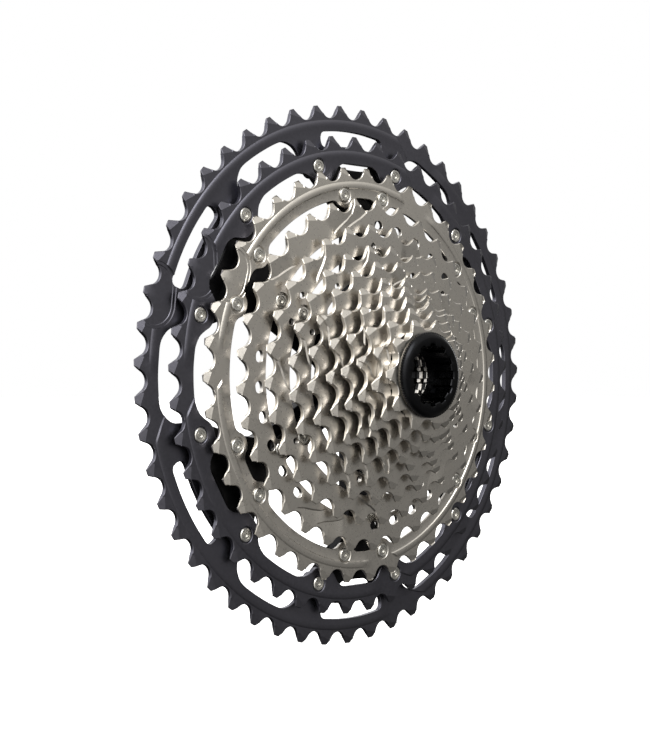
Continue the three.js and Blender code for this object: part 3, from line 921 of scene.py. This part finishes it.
def stage_plane(name, corners, colour, glow):
    mesh = bpy.data.meshes.new(name)
    mesh.from_pydata(corners, [], [(0, 1, 2, 3)])
    obj = bpy.data.objects.new(name, mesh)
    bpy.context.scene.collection.objects.link(obj)
    m = bpy.data.materials.new(name + "_paint")
    m.use_nodes = True
    shader = m.node_tree.nodes["Principled BSDF"]
    shader.inputs["Base Color"].default_value = (*colour, 1)
    shader.inputs["Roughness"].default_value = 0.9
    shader.inputs["Emission Color"].default_value = (*colour, 1)
    shader.inputs["Emission Strength"].default_value = glow
    obj.data.materials.append(m)
    return obj


floor_z = cad_box[0].z - 0.012
floor = stage_plane(
    "floor", [(-6, -6, floor_z), (6, -6, floor_z), (6, 6, floor_z), (-6, 6, floor_z)], (0.9, 0.9, 0.9), 1.0
)
floor.visible_glossy = False
floor.visible_diffuse = False

world_look = bpy.data.worlds.new("studio")
world_look.use_nodes = True
bpy.context.scene.world = world_look
nodes, links = world_look.node_tree.nodes, world_look.node_tree.links
nodes.clear()
output = nodes.new("ShaderNodeOutputWorld")
seen = nodes.new("ShaderNodeBackground")
seen.inputs["Color"].default_value = (1, 1, 1, 1)
lit = nodes.new("ShaderNodeBackground")
path = nodes.new("ShaderNodeLightPath")
choice = nodes.new("ShaderNodeMixShader")
links.new(path.outputs["Is Camera Ray"], choice.inputs[0])
links.new(lit.outputs[0], choice.inputs[1])
links.new(seen.outputs[0], choice.inputs[2])
links.new(choice.outputs[0], output.inputs[0])
coords = nodes.new("ShaderNodeTexCoord")
axes = nodes.new("ShaderNodeSeparateXYZ")
links.new(coords.outputs["Generated"], axes.inputs[0])


def across_sky(axis, steps, tint=(1, 1, 1)):
    """A grey level that depends on one axis of the direction looked in."""
    place = nodes.new("ShaderNodeMapRange")
    links.new(axes.outputs[axis], place.inputs["Value"])
    place.inputs["From Min"].default_value = -1
    ramp = nodes.new("ShaderNodeValToRGB")
    links.new(place.outputs["Result"], ramp.inputs["Fac"])
    while len(ramp.color_ramp.elements) < len(steps):
        ramp.color_ramp.elements.new(0.5)
    for element, (position, value) in zip(ramp.color_ramp.elements, sorted(steps)):
        element.position = (position + 1) / 2
        element.color = (*[value * t for t in tint], 1)
    return ramp.outputs["Color"]


def sky_mix(kind, factor, a, b):
    mixing = nodes.new("ShaderNodeMix")
    mixing.data_type = "RGBA"
    mixing.blend_type = kind
    if factor is None:
        mixing.inputs["Factor"].default_value = 1
    else:
        links.new(factor, mixing.inputs["Factor"])
    links.new(a, mixing.inputs["A"])
    links.new(b, mixing.inputs["B"])
    return mixing.outputs["Result"]


# Height in the sky: a bright backdrop behind the cassette, a dimmer room in front of it
backdrop = [(-1, 0.01), (-0.15, 0.02), (0.02, 1.2), (0.12, 1.8), (0.60, 1.8), (0.78, 0.4), (1, 0.2)]
behind = across_sky("Z", backdrop)
WARM_ROOM = (1.02, 1.0, 0.95)
floor_to_ceiling = [(-1, 0.03), (-0.8, 0.08), (-0.45, 0.27), (-0.12, 0.25), (0.1, 0.47), (0.4, 0.9), (1, 1.0)]
ahead = across_sky("Z", floor_to_ceiling, WARM_ROOM)
left_to_right = [(-1, 3.4), (-0.45, 3.0), (-0.1, 1.2), (0.1, 1.0), (0.45, 1.0), (0.72, 0.75), (1, 0.2)]
to_the_right = across_sky("X", left_to_right)
split = across_sky("Y", [(-1, 0), (0.08, 0), (0.38, 1), (1, 1)])
front_room = sky_mix("MULTIPLY", None, ahead, to_the_right)
links.new(sky_mix("MIX", split, front_room, behind), lit.inputs["Color"])


def softbox(name, place, target, size, power):
    light = bpy.data.lights.new(name, "AREA")
    light.shape = "RECTANGLE"
    light.size, light.size_y = size
    light.energy = power
    obj = bpy.data.objects.new(name, light)
    obj.location = place
    obj.rotation_mode = "QUATERNION"
    obj.rotation_quaternion = (Vector(target) - Vector(place)).to_track_quat("-Z", "Y")
    bpy.context.scene.collection.objects.link(obj)
    return obj


softbox("key", (-0.28, -0.78, 0.74), (0, 0, 0), (0.7, 0.5), 5)

camera = bpy.data.objects.new("camera", bpy.data.cameras.new("camera"))
camera.data.lens = 71.95
camera.data.sensor_width = 36
camera.data.shift_x = -0.0017
camera.location = (-0.4142, -0.4108, 0)
camera.rotation_mode = "QUATERNION"
camera.rotation_quaternion = Vector((0.6988, 0.7153, 0)).to_track_quat("-Z", "Y")
camera.data.clip_start = 0.01
bpy.context.scene.collection.objects.link(camera)
bpy.context.scene.camera = camera
bpy.context.scene.view_settings.view_transform = "Standard"
